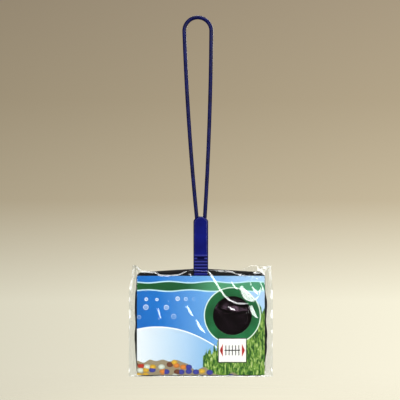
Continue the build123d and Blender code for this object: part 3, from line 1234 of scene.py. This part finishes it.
    def _slope(self, x: float, z: float, flat: float, rise: float) -> float:
        """How far the film has gone from its flat face to the weld.

        Args:
            x: Place across.
            z: Height.
            flat: Half width of the flat face.
            rise: Height over which the foot closes.

        Returns:
            0 on the flat face and 1 at the weld.
        """
        inner = self._edge(z, x < 0) - self.weld_width
        beside = (abs(x) - flat) / (inner - flat)
        below = (self.foot + rise - z) / rise
        return min(max(beside, below, 0.0), 1.0)

    def _crinkle(self, x: float, z: float) -> float:
        """Fine crumpling, strongest at the bag's right-hand corners."""
        knot = math.exp(-(((x - 47.0) / 11.0) ** 2 + ((z + 6.0) / 13.0) ** 2))
        corner = math.exp(-(((x - 64.0) / 6.0) ** 2 + ((z + 88.0) / 8.0) ** 2))
        lip = 0.2 * ease((z + 3.0) / 8.0)
        amount = 0.05 + 0.15 * knot + 0.5 * corner + lip
        ridge = noise.ridged_multi_fractal(Vector((x / 7.0, z / 7.0, 3.0)), 1.0, 2.1, 3, 1.0, 2.0)
        sway = 0.12 * (1 + noise.noise(Vector((x / 19.0, z / 19.0, 6.0))))
        return amount * max(ridge - 0.6, 0.0) + sway

    def _weld_lift(self, x: float, z: float) -> float:
        """Press marks across the side welds, and how far each strip is twisted."""
        over = abs(x) - (self._edge(z, x < 0) - self.weld_width)
        if over <= 0:
            return 0.0
        twist = self.twist * noise.noise(Vector((z / 9.0, math.copysign(3.0, x), 0.0)))
        ridge = math.sin(2 * math.pi * z / self.press_mm)
        return self.press * ease(over / 0.4) * ridge + twist * over

    def _front_point(self, u: float, v: float) -> Vector:
        """Place of the front film at u across and v up, with its top edge rolled forward."""
        body, roll = 0.955, 0.975
        up = min(v / body, 1.0)
        guess = mix(self.foot, 6.0, up)
        x = mix(-self._edge(guess, True), self._edge(guess, False), u)
        z = mix(self.foot, through(self.front_top, x), up)
        slope = self._slope(x, z, self.card_flat, self.front_slope)
        y = mix(self.front_y, self.weld_y - self.weld_gap, slope)
        stand = max(fold.rise(x, z) for fold in self.folds) + self._crinkle(x, z)
        y += self._weld_lift(x, z) - stand * mix(1.0, 0.4, slope)
        if v > body:
            beside = min(ease((abs(x) - self.grip_half) / 2.5), 1.0)
            loose = ease((abs(x + 34.0) - 21.0) / 4.0)
            tilt = self.lip_tilt + 0.6 * loose * noise.noise(Vector((x / 9.0, 4.0, 0.0)))
            turn = (math.pi - tilt) * beside * min((v - body) / (roll - body), 1.0)
            hang = self.lip_drop * beside * max((v - roll) / (1 - roll), 0.0)
            y -= self.lip_r * (1 - math.cos(turn)) + hang * math.sin(tilt)
            z += self.lip_r * math.sin(turn) - hang * math.cos(tilt)
        return Vector((x, y, z + CARD_TOP))

    def _back_point(self, u: float, v: float) -> Vector:
        """Place of the back film at u across and v up."""
        guess = mix(self.foot, self.mouth, v)
        x = mix(-self._edge(guess, True), self._edge(guess, False), u)
        top = through(self.back_top, x) + 0.7 * noise.noise(Vector((x / 11.0, 0.0, 7.0)))
        z = mix(self.foot, top, v)
        slope = self._slope(x, z, self.net_flat, self.back_slope)
        y = mix(self.back_y, self.weld_y + self.weld_gap, slope)
        ridge = noise.ridged_multi_fractal(Vector((x / 16.0, z / 16.0, 8.0)), 1.0, 2.1, 3, 1.0, 2.0)
        y += 0.3 * max(ridge - 0.7, 0.0) * (1 - slope) + self._weld_lift(x, z)
        return Vector((x, y, z + CARD_TOP))


@dataclass
class DisplayCard:
    """The printed card, whose solid is shown as it is."""

    finish: PrintedBoard = PrintedBoard()

    def dress(self) -> None:
        """Gives the card its print."""
        dress(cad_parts["display_card"], self.finish.material())
        LOG.info("dressed display_card")


@dataclass(frozen=True)
class Softbox:
    """A studio light: its name, place and size in metres, and its power in watts."""

    name: str
    place: tuple[float, float, float]
    size: tuple[float, float]
    power: float
    colour: str = "#FFFFFF"


@dataclass
class Stage:
    """Floor, studio lights, world and camera."""

    aim: tuple[float, float, float] = (0.0, 0.0, -0.21)
    floor_z: float = -0.458
    floor_fade: tuple[float, float] = (0.25, 0.8)
    frame_width: float = 0.372
    centre: tuple[float, float] = (-0.00074, -0.1676)
    lens: float = 85.0
    sensor: float = 36.0
    floor_colour: str = "#E4DFCB"
    air: str = "#FFFAF0"
    ambient: float = 0.31
    room: str = "#1E1C19"
    backdrop_reach: float = 0.21
    lights: tuple[Softbox, ...] = (
        Softbox("key_right", (0.62, -0.80, 0.0), (0.66, 0.66), 5.1),
        Softbox("fill_left", (-0.66, -0.79, -0.08), (0.5, 0.5), 2.0),
        Softbox("top", (0.0, -0.85, 0.34), (0.9, 0.4), 3.2),
        Softbox("overhead", (0.12, -0.25, 0.7), (0.6, 0.4), 4.6),
        Softbox("back", (0.2, 0.8, 0.3), (0.6, 0.5), 5.0),
    )
    sky: tuple[tuple[float, str], ...] = ((0.0, "#ECE7D2"), (
        0.25, "#EAE5CF",
    ), (0.5, "#BBAE93"), (0.75, "#A99B81"), (1.0, "#9F917A"))

    def build(self) -> None:
        """Makes the whole stage."""
        self._floor()
        self._world()
        for box in self.lights:
            self._light(box)
        self._camera()
        bpy.context.scene.view_settings.view_transform = "Standard"

    def _floor(self) -> None:
        """A pale floor that fades into the background."""
        bpy.ops.object.select_all(action="DESELECT")
        bpy.ops.mesh.primitive_plane_add(size=4.0, location=(0, 0, self.floor_z))
        floor = bpy.context.object
        floor.name = "floor"
        floor.visible_glossy = False
        material, tree = blank_material("pale_floor")
        place = add(tree, "TexCoord", output="Object")
        away = add(tree, "VectorMath", {0: place}, "Value", operation="LENGTH")
        fade = add(tree, "MapRange", {
            "Value": away, "From Min": self.floor_fade[0], "From Max": self.floor_fade[1],
        }, interpolation_type="SMOOTHSTEP")
        matt = add(tree, "BsdfDiffuse", {"Color": linear(self.floor_colour)})
        gone = add(tree, "BsdfTransparent")
        surface = add(tree, "MixShader", {0: fade, 1: matt, 2: gone})
        add(tree, "OutputMaterial", {"Surface": surface})
        dress(floor, material)

    def _world(self) -> None:
        """Soft light all round, with the photograph's pale backdrop behind what the eye sees."""
        world = bpy.data.worlds.new("studio")
        bpy.context.scene.world = world
        world.use_nodes = True
        tree = world.node_tree
        tree.nodes.clear()
        way = add(tree, "TexCoord", output="Generated")
        across = add(tree, "SeparateXYZ", {0: way}, "X")
        up = add(tree, "SeparateXYZ", {0: way}, "Z")
        reach = self.backdrop_reach
        height = add(tree, "MapRange", {"Value": up, "From Min": -reach, "From Max": reach})
        paper = add(tree, "ValToRGB", {0: height}, stops=self.sky)
        bright = add(tree, "MapRange", {
            "Value": across, "From Min": -reach, "From Max": reach, "To Min": 0.86, "To Max": 1.14,
        })
        backdrop = add(tree, "VectorMath", {0: paper, "Scale": bright}, operation="SCALE")
        path = add(tree, "LightPath", output="Is Camera Ray").node
        glossy = add(tree, "Math", {
            0: path.outputs["Is Glossy Ray"], 1: path.outputs["Is Transmission Ray"],
        }, operation="MAXIMUM")
        soft = add(tree, "Background", {"Color": linear(self.air), "Strength": self.ambient})
        seen = add(tree, "Background", {"Color": backdrop, "Strength": 1.0})
        # Shiny pieces mirror a dim room: with the pale backdrop the clear film turns milky
        shine = add(tree, "Background", {"Color": linear(self.room), "Strength": 1.0})
        first = add(tree, "MixShader", {0: glossy, 1: soft, 2: shine})
        second = add(tree, "MixShader", {0: path.outputs["Is Camera Ray"], 1: first, 2: seen})
        add(tree, "OutputWorld", {"Surface": second})

    def _light(self, box: Softbox) -> None:
        """Hangs one softbox, turned to the object and out of the camera's sight."""
        away = Vector(box.place) - Vector(self.aim)
        bpy.ops.object.light_add(
            type="AREA", location=box.place, rotation=away.to_track_quat("Z", "Y").to_euler()
        )
        lamp = bpy.context.object
        lamp.name = box.name
        lamp.data.shape = "RECTANGLE"
        lamp.data.size, lamp.data.size_y = box.size
        lamp.data.energy = box.power
        lamp.data.color = linear(box.colour)[:3]
        lamp.visible_camera = False

    def _camera(self) -> None:
        """Sets the camera square to the card, framed as in the photograph."""
        distance = self.frame_width * self.lens / self.sensor
        bpy.ops.object.camera_add(
            location=(self.centre[0], -distance, self.centre[1]), rotation=(math.pi / 2, 0, 0)
        )
        camera = bpy.context.object
        camera.name = "camera"
        camera.data.lens = self.lens
        camera.data.sensor_width = self.sensor
        bpy.context.scene.camera = camera


def main() -> None:
    """Builds the object and its stage."""
    logging.basicConfig(level=logging.INFO, format="%(name)s: %(message)s")
    Stage().build()
    Handle().dress()
    hem_pieces = Hem().build()
    NetPocket().build(hem_pieces)
    DisplayCard().dress()
    FilmBag().build()


if __name__ == "__main__":
    main()
